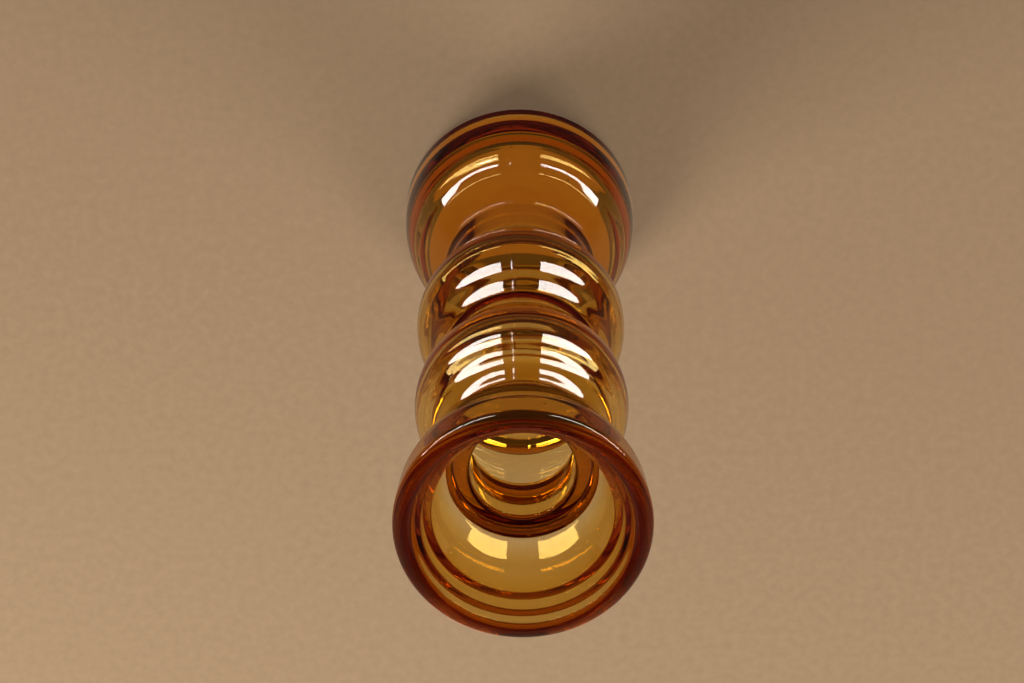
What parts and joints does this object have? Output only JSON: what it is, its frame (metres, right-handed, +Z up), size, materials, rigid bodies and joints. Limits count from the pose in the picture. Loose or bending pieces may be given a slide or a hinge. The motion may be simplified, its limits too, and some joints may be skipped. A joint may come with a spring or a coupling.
{
  "type": "glass candlestick",
  "caption": "Amber blown-glass candlestick: closed hollow foot, two rounded bulges and a flared bowl with a straight socket for a taper candle.",
  "frame": {"origin": "centre of the circle the foot stands on", "axes": "+Z up along the axis of revolution, from the foot to the candle bowl; X and Y are any two level directions"},
  "size_m": [0.0562, 0.0562, 0.1536],
  "materials": {
    "amber_glass": "smooth glossy blown glass, amber with an olive tint, darker where the glass is thick"
  },
  "bodies": {
    "root": {"foot_bell": "amber_glass", "lower_bulge": "amber_glass", "upper_bulge": "amber_glass", "candle_bowl": "amber_glass"}
  },
  "joints": []
}
